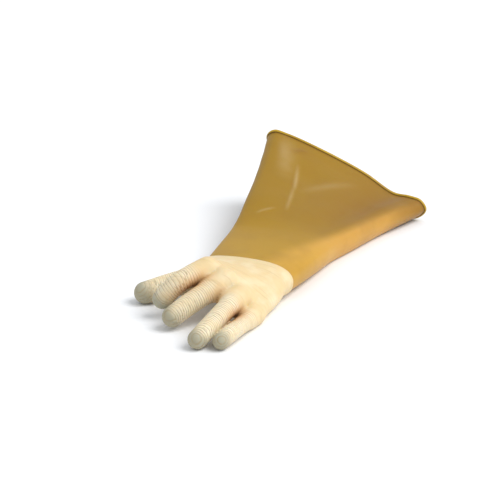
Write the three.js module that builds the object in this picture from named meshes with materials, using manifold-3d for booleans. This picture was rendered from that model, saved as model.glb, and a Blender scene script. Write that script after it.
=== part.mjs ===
// A gauntlet glove for a glove box: a ribbed rubber hand on a flared latex sleeve with a rolled rim.
// It is a left hand that lies palm down. The sleeve runs along +Y, the fingers point towards -Y, the
// thumb is on the -X side and the floor is z = 0. Lengths are in millimetres and angles in degrees.

import * as THREE from "three";
import { mergeVertices } from "three/addons/utils/BufferGeometryUtils.js";
import Module from "manifold-3d";

// Sleeve: from the wrist line to the open mouth
const SLEEVE_LENGTH = 365;
const SLEEVE_WALL = 1.5;
const MOUTH_WIDTH = 256;
const MOUTH_HEIGHT = 116;
const BEAD_DIAMETER = 6;

// Wrist: the sleeve's small end, an egg that is fuller on the little finger's side
const WRIST_WIDTH = 124;
const WRIST_THICKNESS = 40;
const WRIST_LIFT = 10.5;
const WRIST_ROLL = 7.5;
const WRIST_EGG = 0.42;
const OVAL_POWER = 2.6;

// Lap joint: the sleeve's end sits in a recess inside the hand's rim
const LAP_LENGTH = 12;
const SKIRT_WALL = 1.4;
const FIT_GAP = 0.3;

// Hand: the palm from the wrist line to the knuckles, and the digits
const HAND_WALL = 2.6;
const PALM_LENGTH = 96;
const PALM_WIDTH = 118;
const PALM_THICKNESS = 34;
const PALM_EGG = -0.1;
const HAND_YAW = -2.7;
const HAND_PITCH = 3.8;
const HAND_ROLL = 38.6;
const FINGER_LENGTH = 86;
const FINGER_DIAMETER = 29;
const THUMB_LENGTH = 97;
const THUMB_DIAMETER = 29;
const THUMB_HEADING = 51.5;
const THUMB_FALL = 9.3;

// Faceting: the palm's surface is taken on a grid with this step, the rest from rings of points
const GRID_STEP = 7;
const DIGIT_SIDES = 12;
const DIGIT_RINGS = 9;
const DIGIT_END_RINGS = 3;
const SLEEVE_SIDES = 48;
const SLEEVE_RINGS = 12;
const BEAD_SIDES = 8;

// How the sleeve opens from the wrist (share 0) to the mouth (share 1): it first runs on as a tube,
// then its width spreads and its folded edge lifts off the floor
const SLEEVE_ROWS = [
  { along: 0.0, spread: 0.0, lift: 0.0 },
  { along: 0.12, spread: 0.07, lift: 0.02 },
  { along: 0.3, spread: 0.15, lift: 0.08 },
  { along: 0.4, spread: 0.2, lift: 0.2 },
  { along: 0.52, spread: 0.33, lift: 0.36 },
  { along: 0.75, spread: 0.6, lift: 0.63 },
  { along: 1.0, spread: 1.0, lift: 1.0 },
];
const SLEEVE_SAG = 9;
const SAG_REACH = 30;

// The slack mouth, once round from the round lobe on the little finger's side: turn is the place on
// the wrist's oval that it grows from, across and height are shares of the mouth's width and height
const MOUTH_ROWS = [
  { turn: 0.0, across: 0.595, height: 0.135 },
  { turn: 0.05, across: 0.565, height: 0.245 },
  { turn: 0.1, across: 0.5, height: 0.285 },
  { turn: 0.16, across: 0.4, height: 0.31 },
  { turn: 0.22, across: 0.215, height: 0.545 },
  { turn: 0.3, across: -0.04, height: 0.79 },
  { turn: 0.38, across: -0.27, height: 0.97 },
  { turn: 0.44, across: -0.35, height: 1.0 },
  { turn: 0.5, across: -0.395, height: 0.93 },
  { turn: 0.58, across: -0.305, height: 0.5 },
  { turn: 0.66, across: -0.18, height: 0.07 },
  { turn: 0.75, across: 0.02, height: 0.0 },
  { turn: 0.87, across: 0.36, height: 0.0 },
  { turn: 0.95, across: 0.55, height: 0.03 },
];

// Fingers: across, along and arch place the knuckle as shares of the palm's width, length and
// thickness, and bends are the angles at the knuckle and at the two joints after it
const FINGER_ROWS = [
  { across: -0.364, along: 0.876, arch: -0.2, length: 0.84, girth: 0.95, splay: 26, bends: [43, 42, 20] },
  { across: -0.127, along: 0.948, arch: 0.19, length: 0.96, girth: 1.0, splay: 15, bends: [31, 30, 19] },
  { across: 0.127, along: 0.957, arch: 0.19, length: 1.12, girth: 0.9, splay: 3, bends: [15, 14, 12] },
  { across: 0.364, along: 0.94, arch: 0.13, length: 0.98, girth: 0.81, splay: 7, bends: [6, 12, 13] },
];
const FINGER_BONES = [0.51, 0.32, 0.17];
const THUMB_BONES = [0.44, 0.31, 0.25];
const THUMB_ROOT = { across: -0.34, along: 0.21 };
const THUMB_GIRTHS = [1.24, 1.08, 1, 0.95];
const TIP_TAPER = 0.91;
const WEB_PLACE = 0.18;
const WEB_GIRTH = 0.72;
const ROOT_REACH = 0.55;
const ROOT_SLIMMING = 0.9;
const KNUCKLE_ARCH = 0.1;

// Widths over which the shapes of the hand run into each other
const KNUCKLE_BLEND = 8;
const THUMB_BLEND = 16;
const FLOOR_BLEND = 3;
const PALM_END_BLEND = 12;
const PALM_END_REACH = 6;

// How far two touching points of a skin are drawn apart, as a share of the way to their neighbours
const TOUCH_DRAW = 0.1;

// Directions of a skin are taken between two places this near: as a share of a sleeve facet, and in mm
const NEARBY_SHARE = 0.25;
const NEARBY = 0.5;

// A point is moved onto a skin in a few short steps, and never along a slope flatter than the least one
const SURFACE_PASSES = 3;
const SURFACE_STEP = GRID_STEP / 4;
const LEAST_SLOPE = 0.5;

const wasm = await Module();
wasm.setup();

const radians = THREE.MathUtils.degToRad;
const wristCentreHeight = WRIST_LIFT + WRIST_THICKNESS / 2;
const mouthFloor = (BEAD_DIAMETER - SLEEVE_WALL) / 2;

// A value from a table of rows, smoothly between the rows on both sides of a place
function tableValue(rows, key, column, place) {
  const last = rows.length - 1;
  let row = 0;
  while (row < last - 1 && place > rows[row + 1][key]) {
    row += 1;
  }
  const value = (index) => rows[THREE.MathUtils.clamp(index, 0, last)][column];
  const at = (index) => rows[THREE.MathUtils.clamp(index, 0, last)][key];
  const slope = (index) => (value(index + 1) - value(index - 1)) / (at(index + 1) - at(index - 1));
  const span = at(row + 1) - at(row);
  const t = THREE.MathUtils.clamp((place - at(row)) / span, 0, 1);
  const startTangent = slope(row) * span;
  const endTangent = slope(row + 1) * span;
  const squared = t * t;
  const cubed = squared * t;
  return (
    value(row) * (2 * cubed - 3 * squared + 1) +
    startTangent * (cubed - 2 * squared + t) +
    value(row + 1) * (3 * squared - 2 * cubed) +
    endTangent * (cubed - squared)
  );
}

// The wrist's oval at a turn from 0 to 1
function wristPoint(turn) {
  const angle = turn * 2 * Math.PI;
  const rounded = (value) => Math.sign(value) * Math.abs(value) ** (2 / OVAL_POWER);
  const across = rounded(Math.cos(angle));
  const halfThickness = (WRIST_THICKNESS / 2) * (1 + WRIST_EGG * across);
  const flat = new THREE.Vector2((WRIST_WIDTH / 2) * across, halfThickness * rounded(Math.sin(angle)));
  flat.rotateAround(new THREE.Vector2(), -radians(WRIST_ROLL));
  return flat.add(new THREE.Vector2(0, wristCentreHeight));
}

// The slack mouth at a turn from 0 to 1, as a closed curve through the rows of its table
function mouthPoint(turn) {
  const count = MOUTH_ROWS.length;
  const wrapped = turn - Math.floor(turn);
  let row = count - 1;
  while (MOUTH_ROWS[row].turn > wrapped) {
    row -= 1;
  }
  const start = MOUTH_ROWS[row].turn;
  const end = row + 1 < count ? MOUTH_ROWS[row + 1].turn : 1;
  const t = (wrapped - start) / (end - start);
  const point = mouthCurve.getPoint((row + t) / count);
  point.z = Math.max(point.z, mouthFloor);
  return point;
}

const mouthCurve = new THREE.CatmullRomCurve3(
  MOUTH_ROWS.map(({ across, height }) => {
    return new THREE.Vector3(across * MOUTH_WIDTH, 0, mouthFloor + height * MOUTH_HEIGHT);
  }),
  true,
  "centripetal",
);

// The sleeve's outer surface at a share of its length and a turn round it: x is across, y is height
function sleeveOutline(along, turn) {
  const share = Math.max(along, 0);
  const spread = tableValue(SLEEVE_ROWS, "along", "spread", share);
  const lift = tableValue(SLEEVE_ROWS, "along", "lift", share);
  const wrist = wristPoint(turn);
  const mouth = mouthPoint(turn);
  const across = THREE.MathUtils.lerp(wrist.x, mouth.x, spread);
  const height = THREE.MathUtils.lerp(wrist.y, mouth.z, lift);
  const sag = SLEEVE_SAG * Math.sin(Math.PI * Math.min(share, 1)) * Math.max(0, 1 - height / SAG_REACH);
  return new THREE.Vector2(across, Math.max(height - sag, 0));
}

// A point on the sleeve, moved outwards in its section by a margin
function sleevePoint(along, turn, margin) {
  const nearby = NEARBY_SHARE / SLEEVE_SIDES;
  const before = sleeveOutline(along, turn - nearby);
  const after = sleeveOutline(along, turn + nearby);
  const tangent = after.sub(before).normalize();
  const place = sleeveOutline(along, turn);
  return new THREE.Vector3(
    place.x + tangent.y * margin,
    along * SLEEVE_LENGTH,
    place.y - tangent.x * margin,
  );
}

// A ring of points round the sleeve
function sleeveRing(along, margin) {
  return Array.from({ length: SLEEVE_SIDES }, (_, side) => sleevePoint(along, side / SLEEVE_SIDES, margin));
}

// A skin over rings of points, closed along the list too where it is a loop, else capped at both ends
function skinOf(rings, isLoop) {
  const sides = rings[0].length;
  const positions = rings.flat().flatMap((point) => point.toArray());
  const faces = [];
  const steps = isLoop ? rings.length : rings.length - 1;
  for (let step = 0; step < steps; step += 1) {
    const here = step * sides;
    const next = ((step + 1) % rings.length) * sides;
    for (let side = 0; side < sides; side += 1) {
      const other = (side + 1) % sides;
      faces.push(here + side, next + side, here + other);
      faces.push(here + other, next + side, next + other);
    }
  }
  if (!isLoop) {
    const last = (rings.length - 1) * sides;
    for (const [first, sign] of [[0, -1], [last, 1]]) {
      const centre = positions.length / 3;
      const middle = new THREE.Vector3();
      rings[first / sides].forEach((point) => middle.addScaledVector(point, 1 / sides));
      positions.push(...middle.toArray());
      for (let side = 0; side < sides; side += 1) {
        const other = (side + 1) % sides;
        const pair = sign > 0 ? [other, side] : [side, other];
        faces.push(first + pair[0], first + pair[1], centre);
      }
    }
  }
  const geometry = new THREE.BufferGeometry();
  geometry.setAttribute("position", new THREE.Float32BufferAttribute(positions, 3));
  geometry.setIndex(faces);
  return geometry;
}

// A closed geometry as a solid that can be joined and cut, and back again
function toSolid(geometry) {
  const bare = new THREE.BufferGeometry();
  bare.setAttribute("position", geometry.getAttribute("position"));
  bare.setIndex(geometry.getIndex());
  const merged = mergeVertices(bare);
  return new wasm.Manifold(
    new wasm.Mesh({
      numProp: 3,
      vertProperties: new Float32Array(merged.getAttribute("position").array),
      triVerts: new Uint32Array(merged.getIndex().array),
    }),
  );
}

function toGeometry(solid) {
  const mesh = solid.getMesh();
  const geometry = new THREE.BufferGeometry();
  geometry.setAttribute("position", new THREE.BufferAttribute(mesh.vertProperties, 3));
  geometry.setIndex(new THREE.BufferAttribute(mesh.triVerts, 1));
  partTouchingPoints(geometry);
  return geometry;
}

// Where two folds of a skin meet in one place, draws the points of each a little into its own fold
function partTouchingPoints(geometry) {
  const positions = geometry.getAttribute("position");
  const faces = geometry.getIndex().array;
  const point = (index) => new THREE.Vector3().fromBufferAttribute(positions, index);
  const namesake = new Map();
  const touching = new Map();
  for (let index = 0; index < positions.count; index += 1) {
    const name = point(index).toArray().join(" ");
    if (namesake.has(name)) {
      touching.set(index, []);
      touching.set(namesake.get(name), []);
    }
    namesake.set(name, index);
  }
  for (let corner = 0; corner < faces.length; corner += 1) {
    const next = corner % 3 === 2 ? corner - 2 : corner + 1;
    touching.get(faces[corner])?.push(point(faces[next]));
  }
  touching.forEach((neighbours, index) => {
    const middle = new THREE.Vector3();
    neighbours.forEach((neighbour) => middle.addScaledVector(neighbour, 1 / neighbours.length));
    const parted = point(index).lerp(middle, TOUCH_DRAW);
    positions.setXYZ(index, ...parted.toArray());
  });
}

// The sleeve: up its outside from the lapped end to the mouth, and back down its inside
function gauntletGeometry() {
  const shares = [-LAP_LENGTH / SLEEVE_LENGTH];
  for (let ring = 0; ring <= SLEEVE_RINGS; ring += 1) {
    shares.push(ring / SLEEVE_RINGS);
  }
  const outside = shares.map((along) => sleeveRing(along, 0));
  const inside = shares.map((along) => sleeveRing(along, -SLEEVE_WALL)).reverse();
  return skinOf([...outside, ...inside], true);
}

// The rolled rim: a round bead just past the sleeve's end, all along the middle of its wall
function beadGeometry() {
  const radius = BEAD_DIAMETER / 2;
  const overshoot = FIT_GAP + radius;
  const rings = [];
  for (let side = 0; side < SLEEVE_SIDES; side += 1) {
    const turn = side / SLEEVE_SIDES;
    const middle = sleevePoint(1, turn, -SLEEVE_WALL / 2);
    const outwards = sleevePoint(1, turn, 0).sub(middle).normalize();
    const ring = [];
    for (let step = 0; step < BEAD_SIDES; step += 1) {
      const angle = (step / BEAD_SIDES) * 2 * Math.PI;
      const point = middle.clone().addScaledVector(outwards, radius * Math.cos(angle));
      point.y += overshoot - radius * Math.sin(angle);
      ring.push(point);
    }
    rings.push(ring);
  }
  return skinOf(rings, true);
}

// The hand's own directions: forward to the fingers, across to the little finger, and up off its back
function handFrame() {
  const yaw = radians(HAND_YAW);
  const flatForward = new THREE.Vector3(-Math.sin(yaw), -Math.cos(yaw), 0);
  const flatAcross = new THREE.Vector3(Math.cos(yaw), -Math.sin(yaw), 0);
  const forward = flatForward.clone().applyAxisAngle(flatAcross, -radians(HAND_PITCH));
  const across = flatAcross.clone().applyAxisAngle(forward, -radians(HAND_ROLL));
  const up = new THREE.Vector3().crossVectors(forward, across);
  return { forward, across, up };
}

// The bones of one finger: joint points from the knuckle to the middle of the fingertip
function fingerBones(row) {
  const { forward, across, up } = handFrame();
  const knuckle = new THREE.Vector3(0, 0, wristCentreHeight)
    .addScaledVector(across, row.across * PALM_WIDTH)
    .addScaledVector(forward, row.along * PALM_LENGTH)
    .addScaledVector(up, row.arch * PALM_THICKNESS);
  const heading = forward.clone().applyAxisAngle(up, -radians(row.splay));
  const hinge = new THREE.Vector3().crossVectors(heading, up);
  const joints = [knuckle];
  let bend = 0;
  FINGER_BONES.forEach((share, bone) => {
    bend += row.bends[bone];
    const direction = heading.clone().applyAxisAngle(hinge, -radians(bend));
    joints.push(joints[bone].clone().addScaledVector(direction, share * row.length * FINGER_LENGTH));
  });
  const radius = (row.girth * FINGER_DIAMETER) / 2;
  return { joints, radii: joints.map((_, joint) => taper(radius, joint / FINGER_BONES.length)) };
}

// The thumb lies straight beside the palm with its tip on the floor
function thumbBones() {
  const radii = THUMB_GIRTHS.map((girth) => (girth * THUMB_DIAMETER) / 2);
  const fall = radians(THUMB_FALL);
  const heading = radians(THUMB_HEADING);
  const direction = new THREE.Vector3(
    -Math.sin(heading) * Math.cos(fall),
    -Math.cos(heading) * Math.cos(fall),
    -Math.sin(fall),
  );
  const root = new THREE.Vector3(THUMB_ROOT.across * PALM_WIDTH, -THUMB_ROOT.along * PALM_LENGTH, 0);
  root.z = radii[radii.length - 1] + THUMB_LENGTH * Math.sin(fall);
  const joints = [root];
  THUMB_BONES.forEach((share, bone) => {
    joints.push(joints[bone].clone().addScaledVector(direction, share * THUMB_LENGTH));
  });
  return { joints, radii };
}

function taper(radius, share) {
  return radius * THREE.MathUtils.lerp(1, TIP_TAPER, share);
}

// Distance of a point from a rod whose radius changes evenly from one end to the other
function rodDistance(point, from, to, fromRadius, toRadius) {
  const axis = to.clone().sub(from);
  const share = THREE.MathUtils.clamp(point.clone().sub(from).dot(axis) / axis.lengthSq(), 0, 1);
  const nearest = from.clone().addScaledVector(axis, share);
  return point.distanceTo(nearest) - THREE.MathUtils.lerp(fromRadius, toRadius, share);
}

// The smaller or the larger of two distances, rounded where they are alike
function joined(first, second, width) {
  const overlap = Math.max(width - Math.abs(first - second), 0) / width;
  return Math.min(first, second) - (overlap * overlap * width) / 4;
}

function shared(first, second, width) {
  return -joined(-first, -second, width);
}

const fingers = FINGER_ROWS.map(fingerBones);
const thumb = thumbBones();
const outerKnuckles = [fingers[0].joints[0], fingers[fingers.length - 1].joints[0]];
const outerRadii = [fingers[0].radii[0], fingers[fingers.length - 1].radii[0]];
const knuckleLine = outerKnuckles[1].clone().sub(outerKnuckles[0]);
const knuckleCentre = outerKnuckles[0]
  .clone()
  .lerp(outerKnuckles[1], 0.5)
  .addScaledVector(handFrame().up, KNUCKLE_ARCH * PALM_THICKNESS);
const knuckleHalfWidth = (knuckleLine.length() + outerRadii[0] + outerRadii[1]) / 2;
const knuckleReach = -knuckleCentre.y;

// The palm's section at a share of the way from the wrist line to the knuckles
function palmSection(share) {
  const t = Math.max(share, 0);
  const eased = THREE.MathUtils.smoothstep(t, 0, 1);
  const skirt = FIT_GAP + SKIRT_WALL;
  return {
    x: knuckleCentre.x * t,
    z: THREE.MathUtils.lerp(wristCentreHeight, knuckleCentre.z, t),
    roll: radians(THREE.MathUtils.lerp(WRIST_ROLL, HAND_ROLL, eased)),
    halfWidth: THREE.MathUtils.lerp(WRIST_WIDTH / 2 + skirt, knuckleHalfWidth, eased),
    halfThickness: THREE.MathUtils.lerp(WRIST_THICKNESS / 2, PALM_THICKNESS / 2, eased),
    margin: skirt * (1 - eased),
    egg: THREE.MathUtils.lerp(WRIST_EGG, PALM_EGG, eased),
  };
}

// How far outside an oval section a place lies, as a share of the section's size there
function ovalExcess(section, x, z) {
  const cos = Math.cos(section.roll);
  const sin = Math.sin(section.roll);
  const across = ((x - section.x) * cos - (z - section.z) * sin) / section.halfWidth;
  const upwards = (x - section.x) * sin + (z - section.z) * cos;
  const egg = 1 + section.egg * THREE.MathUtils.clamp(across, -1, 1);
  const thickness = section.halfThickness * egg + section.margin;
  const sum = Math.abs(across) ** OVAL_POWER + Math.abs(upwards / thickness) ** OVAL_POWER;
  return sum ** (1 / OVAL_POWER) - 1;
}

function palmDistance(point) {
  const section = palmSection(-point.y / knuckleReach);
  const excess = ovalExcess(section, point.x, point.z);
  const excessNear = (x, z) => ovalExcess(section, point.x + x * NEARBY, point.z + z * NEARBY);
  const slopeX = excessNear(1, 0) - excessNear(-1, 0);
  const slopeZ = excessNear(0, 1) - excessNear(0, -1);
  const slope = Math.max(Math.hypot(slopeX, slopeZ) / (2 * NEARBY), LEAST_SLOPE / section.halfWidth);
  const beyondKnuckles = -point.y - knuckleReach - PALM_END_REACH;
  return shared(excess / slope, beyondKnuckles, PALM_END_BLEND);
}

// Distance from the root of a digit: the first part of its first bone, slimmer towards the end, so that
// the digit grows out of it
function rootDistance(point, { joints, radii }) {
  const end = joints[0].clone().lerp(joints[1], ROOT_REACH);
  return rodDistance(point, joints[0], end, radii[0], radii[1] * ROOT_SLIMMING);
}

// The skin that joins two neighbouring fingers just past their knuckles
function webDistance(point, left, right) {
  const place = ({ joints }) => joints[0].clone().lerp(joints[1], WEB_PLACE);
  return rodDistance(point, place(left), place(right), left.radii[0] * WEB_GIRTH, right.radii[0] * WEB_GIRTH);
}

// Distance of a point from the outer skin of the palm with its webs and the roots of the digits
function bodyDistance(point) {
  const roots = fingers.map((finger) => rootDistance(point, finger));
  const webs = fingers.slice(1).map((finger, index) => webDistance(point, fingers[index], finger));
  let distance = joined(palmDistance(point), Math.min(...webs), KNUCKLE_BLEND);
  distance = joined(distance, Math.min(...roots), KNUCKLE_BLEND);
  distance = joined(distance, rootDistance(point, thumb), THUMB_BLEND);
  distance = shared(distance, point.y - LAP_LENGTH, FLOOR_BLEND);
  return shared(distance, -point.z, FLOOR_BLEND);
}

// The box of space that holds the palm and the roots of the digits, with room on all sides
function bodyBox() {
  const box = new THREE.Box3();
  [...fingers, thumb].forEach(({ joints }) => box.expandByPoint(joints[0]).expandByPoint(joints[1]));
  box.expandByPoint(new THREE.Vector3(-WRIST_WIDTH / 2, LAP_LENGTH, 0));
  box.expandByPoint(new THREE.Vector3(WRIST_WIDTH / 2, LAP_LENGTH, 0));
  return box.expandByScalar(Math.max(FINGER_DIAMETER, THUMB_DIAMETER) + GRID_STEP);
}

// The surface at one depth of a distance field: a point in each grid cell that the surface crosses,
// moved onto the surface, and two triangles across each grid edge that goes through it
function fieldSurface(distanceAt, depth, box) {
  const size = box.getSize(new THREE.Vector3());
  const counts = size.toArray().map((length) => Math.ceil(length / GRID_STEP) + 1);
  const strides = [1, counts[0], counts[0] * counts[1]];
  const gridPoint = (i, j, k) => new THREE.Vector3(i, j, k).multiplyScalar(GRID_STEP).add(box.min);
  const values = new Float64Array(counts[0] * counts[1] * counts[2]);
  const level = (point) => distanceAt(point) + depth;
  for (let k = 0; k < counts[2]; k += 1) {
    for (let j = 0; j < counts[1]; j += 1) {
      for (let i = 0; i < counts[0]; i += 1) {
        values[i + j * strides[1] + k * strides[2]] = level(gridPoint(i, j, k));
      }
    }
  }

  const points = [];
  const pointOfEdge = new Map();
  for (let k = 0; k < counts[2] - 1; k += 1) {
    for (let j = 0; j < counts[1] - 1; j += 1) {
      for (let i = 0; i < counts[0] - 1; i += 1) {
        const cell = i + j * strides[1] + k * strides[2];
        for (const loop of cellLoops(values, cell, strides)) {
          const middle = new THREE.Vector3();
          loop.forEach(({ place }) => middle.addScaledVector(place, 1 / loop.length));
          loop.forEach(({ edge }) => pointOfEdge.set(cell * EDGE_KEYS + edge, points.length));
          const start = middle.multiplyScalar(GRID_STEP).add(gridPoint(i, j, k));
          points.push(movedToSurface(level, start));
        }
      }
    }
  }

  const faces = [];
  for (let axis = 0; axis < 3; axis += 1) {
    const second = (axis + 1) % 3;
    const third = (axis + 2) % 3;
    for (let node = 0; node + strides[axis] < values.length; node += 1) {
      const isInside = values[node] < 0;
      if (isInside !== values[node + strides[axis]] < 0) {
        const ring = [[1, 1], [0, 1], [0, 0], [1, 0]].map(([stepTwo, stepThree]) => {
          const cell = node - stepTwo * strides[second] - stepThree * strides[third];
          const corner = (stepTwo << second) | (stepThree << third);
          return pointOfEdge.get(cell * EDGE_KEYS + edgeKey(corner, corner | (1 << axis)));
        });
        pushQuad(faces, points, isInside ? ring : ring.reverse());
      }
    }
  }
  const geometry = new THREE.BufferGeometry();
  geometry.setAttribute("position", new THREE.Float32BufferAttribute(points.flatMap((p) => p.toArray()), 3));
  geometry.setIndex(faces);
  return geometry;
}

// A cell's corners are numbered by three bits, one for each axis, and an edge by its two corners
const EDGE_KEYS = 64;

function edgeKey(first, second) {
  return Math.min(first, second) * 8 + Math.max(first, second);
}

// The loops in which the surface crosses the edges of a grid cell: a cell between two fingers has two
function cellLoops(values, cell, strides) {
  const corners = [0, 1, 2, 3, 4, 5, 6, 7].map((corner) => {
    const place = new THREE.Vector3(corner & 1, (corner >> 1) & 1, corner >> 2);
    return { place, value: values[cell + place.dot(new THREE.Vector3(...strides))] };
  });
  const isInside = (corner) => corners[corner].value < 0;
  const links = new Map();
  for (let axis = 0; axis < 3; axis += 1) {
    const second = 1 << (axis + 1) % 3;
    const third = 1 << (axis + 2) % 3;
    for (const base of [0, 1 << axis]) {
      linkFace([base, base | second, base | second | third, base | third], isInside, links);
    }
  }
  const loops = [];
  const seen = new Set();
  for (const start of links.keys()) {
    const loop = [];
    const waiting = [start];
    while (waiting.length > 0) {
      const edge = waiting.pop();
      if (!seen.has(edge)) {
        seen.add(edge);
        const [low, high] = [corners[edge >> 3], corners[edge & 7]];
        const share = low.value / (low.value - high.value);
        loop.push({ edge, place: low.place.clone().lerp(high.place, share) });
        waiting.push(...links.get(edge));
      }
    }
    if (loop.length > 0) {
      loops.push(loop);
    }
  }
  return loops;
}

// Links the crossed edges of one cell face in pairs, each pair round a corner that lies inside
function linkFace(ring, isInside, links) {
  const crossed = [];
  ring.forEach((corner, index) => {
    const next = ring[(index + 1) % ring.length];
    if (isInside(corner) !== isInside(next)) {
      crossed.push({ key: edgeKey(corner, next), endsInside: isInside(next) });
    }
  });
  crossed.forEach(({ key, endsInside }, index) => {
    if (endsInside) {
      const partner = crossed[(index + 1) % crossed.length].key;
      links.set(key, [...(links.get(key) ?? []), partner]);
      links.set(partner, [...(links.get(partner) ?? []), key]);
    }
  });
}

// Walks a point down the field's slope until it lies on the surface
function movedToSurface(level, start) {
  const point = start.clone();
  for (let pass = 0; pass < SURFACE_PASSES; pass += 1) {
    const slope = new THREE.Vector3();
    for (let axis = 0; axis < 3; axis += 1) {
      const before = point.clone();
      const after = point.clone();
      before.setComponent(axis, point.getComponent(axis) - NEARBY);
      after.setComponent(axis, point.getComponent(axis) + NEARBY);
      slope.setComponent(axis, (level(after) - level(before)) / (2 * NEARBY));
    }
    const step = level(point) / Math.max(slope.lengthSq(), LEAST_SLOPE ** 2);
    point.addScaledVector(slope, -THREE.MathUtils.clamp(step, -SURFACE_STEP, SURFACE_STEP));
  }
  return point;
}

// Two triangles for a ring of four points, split across its shorter diagonal
function pushQuad(faces, points, [a, b, c, d]) {
  if (points[a].distanceTo(points[c]) < points[b].distanceTo(points[d])) {
    faces.push(a, b, c, a, c, d);
  } else {
    faces.push(a, b, d, b, c, d);
  }
}

// A digit with round ends, swept along a smooth line through its joints, at a depth under its skin
function digitGeometry({ joints, radii }, depth) {
  const curve = new THREE.CatmullRomCurve3(joints, false, "centripetal");
  const frames = curve.computeFrenetFrames(DIGIT_RINGS, false);
  const last = joints.length - 1;
  const rings = [];
  const addRing = (share, radius, reach) => {
    const index = Math.round(share * DIGIT_RINGS);
    const centre = curve.getPointAt(share).addScaledVector(frames.tangents[index], reach);
    const ring = [];
    for (let side = 0; side < DIGIT_SIDES; side += 1) {
      const angle = (side / DIGIT_SIDES) * 2 * Math.PI;
      const point = centre.clone();
      point.addScaledVector(frames.normals[index], radius * Math.cos(angle));
      point.addScaledVector(frames.binormals[index], -radius * Math.sin(angle));
      point.z = Math.max(point.z, depth);
      ring.push(point);
    }
    rings.push(ring);
  };
  const addEnd = (share, radius, sign) => {
    const steps = Array.from({ length: DIGIT_END_RINGS }, (_, step) => (step + 1) / (DIGIT_END_RINGS + 1));
    (sign > 0 ? steps : steps.reverse()).forEach((step) => {
      const angle = (step * Math.PI) / 2;
      addRing(share, radius * Math.cos(angle), sign * radius * Math.sin(angle));
    });
  };
  addEnd(0, radii[0] - depth, -1);
  for (let step = 0; step <= DIGIT_RINGS; step += 1) {
    const share = step / DIGIT_RINGS;
    const bone = Math.min(Math.floor(share * last), last - 1);
    const radius = THREE.MathUtils.lerp(radii[bone], radii[bone + 1], share * last - bone);
    addRing(share, radius - depth, 0);
  }
  addEnd(1, radii[last] - depth, 1);
  return skinOf(rings, false);
}

// The hand's skin at a depth under its outside: the body with the five digits joined on
function handSkin(depth) {
  const body = toSolid(fieldSurface(bodyDistance, depth, bodyBox()));
  return [...fingers, thumb].reduce((solid, digit) => solid.add(toSolid(digitGeometry(digit, depth))), body);
}

// The hand: its outer skin, less the hollow, less the recess for the sleeve's end, open at the wrist
function handGeometry() {
  const recessStart = -(LAP_LENGTH + FIT_GAP) / SLEEVE_LENGTH;
  const recessEnd = LAP_LENGTH / SLEEVE_LENGTH;
  const recess = toSolid(skinOf([sleeveRing(recessStart, FIT_GAP), sleeveRing(recessEnd, FIT_GAP)], false));
  const wristEnd = new THREE.BoxGeometry(2 * WRIST_WIDTH, 4 * LAP_LENGTH, 4 * WRIST_WIDTH);
  wristEnd.translate(0, 2 * LAP_LENGTH, 0);
  return toGeometry(handSkin(0).subtract(handSkin(HAND_WALL)).subtract(recess).subtract(toSolid(wristEnd)));
}

function namedMesh(name, geometry, color, roughness) {
  const mesh = new THREE.Mesh(geometry, new THREE.MeshStandardMaterial({ color, roughness, metalness: 0 }));
  mesh.name = name;
  return mesh;
}

const group = new THREE.Group();
group.add(namedMesh("hand", handGeometry(), "#f5e7c3", 0.6));
group.add(namedMesh("gauntlet", gauntletGeometry(), "#b98b3a", 0.35));
group.add(namedMesh("cuff_bead", beadGeometry(), "#96702a", 0.4));

// The origin goes to the middle of the underside of the whole glove's box
const bounds = new THREE.Box3().setFromObject(group);
const middle = bounds.getCenter(new THREE.Vector3());
group.position.set(-middle.x, -middle.y, -bounds.min.z);

export default group;
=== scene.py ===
"""A long latex glove for a glove box, lying palm down: a ribbed hand, a flared sleeve and its rolled rim."""

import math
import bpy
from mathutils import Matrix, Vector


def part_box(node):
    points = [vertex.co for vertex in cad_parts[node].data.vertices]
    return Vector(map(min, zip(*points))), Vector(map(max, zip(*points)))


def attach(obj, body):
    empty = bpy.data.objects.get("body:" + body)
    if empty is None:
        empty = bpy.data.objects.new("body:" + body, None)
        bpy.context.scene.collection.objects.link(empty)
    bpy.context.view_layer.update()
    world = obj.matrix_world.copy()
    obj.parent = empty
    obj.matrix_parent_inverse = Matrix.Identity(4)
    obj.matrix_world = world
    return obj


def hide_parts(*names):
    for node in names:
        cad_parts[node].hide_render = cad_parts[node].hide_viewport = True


bl_info = {
    "name": "Long latex glove",
    "version": (1, 0, 0),
    "blender": (4, 5, 0),
    "location": "3D View > Sidebar > Glove",
    "description": "Builds the ribbed hand, the latex sleeve and the rolled rim of a long glove",
    "category": "Object",
}

import bmesh
import bpy
import numpy as np
from bpy.props import FloatProperty, FloatVectorProperty, IntProperty, PointerProperty
from mathutils import Matrix, Vector, noise

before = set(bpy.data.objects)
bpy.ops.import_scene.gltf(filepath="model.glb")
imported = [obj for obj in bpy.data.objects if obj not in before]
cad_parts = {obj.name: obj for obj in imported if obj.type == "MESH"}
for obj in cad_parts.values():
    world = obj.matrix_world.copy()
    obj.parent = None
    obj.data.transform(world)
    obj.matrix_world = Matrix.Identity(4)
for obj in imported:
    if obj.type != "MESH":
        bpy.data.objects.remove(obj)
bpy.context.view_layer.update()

# The shapes are worked out from the middle of the wrist line, in metres and degrees
WRIST_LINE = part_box("hand")[1].y
WRIST_PLACE = np.array((-0.01297, WRIST_LINE, 0.0))

# Sleeve
SLEEVE_LENGTH = 0.365
MOUTH_WIDTH = 0.256
MOUTH_HEIGHT = 0.116
MOUTH_FLOOR = 0.00225
SLEEVE_SAG = 0.009
SAG_REACH = 0.03
LAP_LENGTH = 0.012
LAP_TUCK = 0.0032
RIM_OVERSHOOT = 0.0033

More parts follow.
